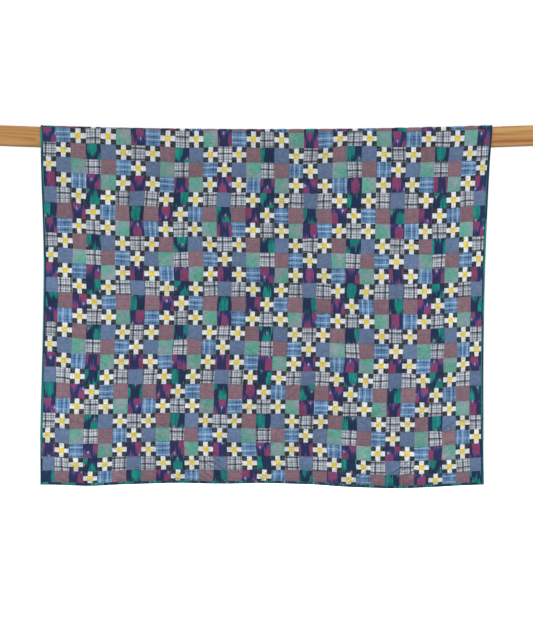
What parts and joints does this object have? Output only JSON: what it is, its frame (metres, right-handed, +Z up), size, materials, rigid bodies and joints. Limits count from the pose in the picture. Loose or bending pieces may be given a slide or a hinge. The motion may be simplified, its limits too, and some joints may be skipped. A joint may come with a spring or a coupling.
{
  "type": "patchwork quilt on a wooden rail",
  "caption": "Pieced patchwork quilt with a bound edge, hung over a plain timber rail with a long front fall and a shorter back fall.",
  "frame": {"origin": "mid-span of the rail, on the straight line between the centres of its two end faces", "axes": "+X along the rail to the right of someone facing the quilt, -Y out of the long front fall, +Z up"},
  "size_m": [2.438, 0.0729, 1.6179],
  "materials": {
    "rail_wood": "planed softwood, honey coloured, satin",
    "patchwork_cotton": "pieced cottons: plaids, chambrays, warp-dyed stripes and nine-patch blocks, matte",
    "binding_cotton": "folded cotton strip, green and navy, matte"
  },
  "bodies": {
    "root": {"rail": "rail_wood", "quilt": "patchwork_cotton", "binding_left": "binding_cotton", "binding_right": "binding_cotton", "binding_front_hem": "binding_cotton", "binding_back_hem": "binding_cotton"}
  },
  "joints": []
}
